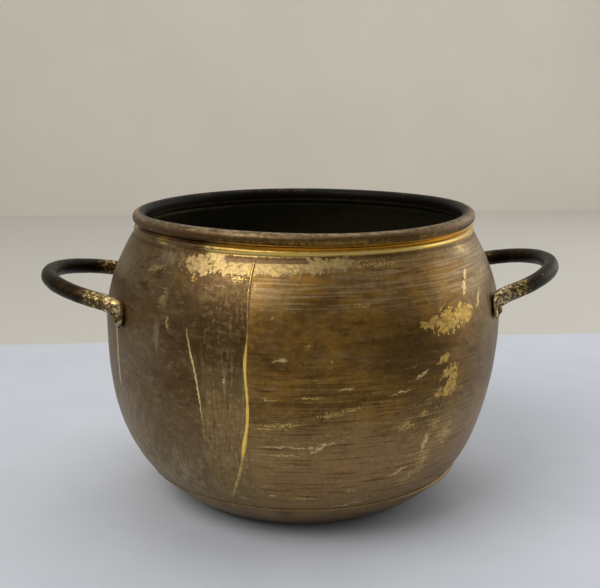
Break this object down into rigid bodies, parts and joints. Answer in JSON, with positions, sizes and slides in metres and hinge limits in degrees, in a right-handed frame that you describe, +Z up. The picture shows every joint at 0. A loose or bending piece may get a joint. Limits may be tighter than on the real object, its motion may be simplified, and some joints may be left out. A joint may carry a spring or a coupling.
{
  "type": "pot with loop handles",
  "caption": "Round bellied sheet brass pot with a curled, wired rim, an upright brazed seam, a dished bottom and riveted loop handles.",
  "frame": {"origin": "under the middle of the pot, on the table", "axes": "+X along the handles towards the right one, +Z up the pot's axis, -Y the front with the upright seam left of its middle"},
  "size_m": [0.3154, 0.24, 0.176],
  "materials": {
    "wall_brass": "dark brown and olive patina, brushed, rubbed through to gold in patches",
    "pan_brass": "dark patina, scuffed where it rests",
    "braze": "rough bright braze",
    "wire_brass": "drawn wire",
    "handle_brass": "nearly black patina, worn to gold near the feet",
    "rivet_brass": "hammered heads, dull"
  },
  "bodies": {
    "root": {"wall": "wall_brass", "wall_seam": "braze", "bottom_pan": "pan_brass", "base_braze": "braze", "rim_wire": "wire_brass", "handle_left": "handle_brass", "handle_right": "handle_brass", "rivet_left_front": "rivet_brass", "rivet_left_back": "rivet_brass", "rivet_right_front": "rivet_brass", "rivet_right_back": "rivet_brass"}
  },
  "joints": []
}
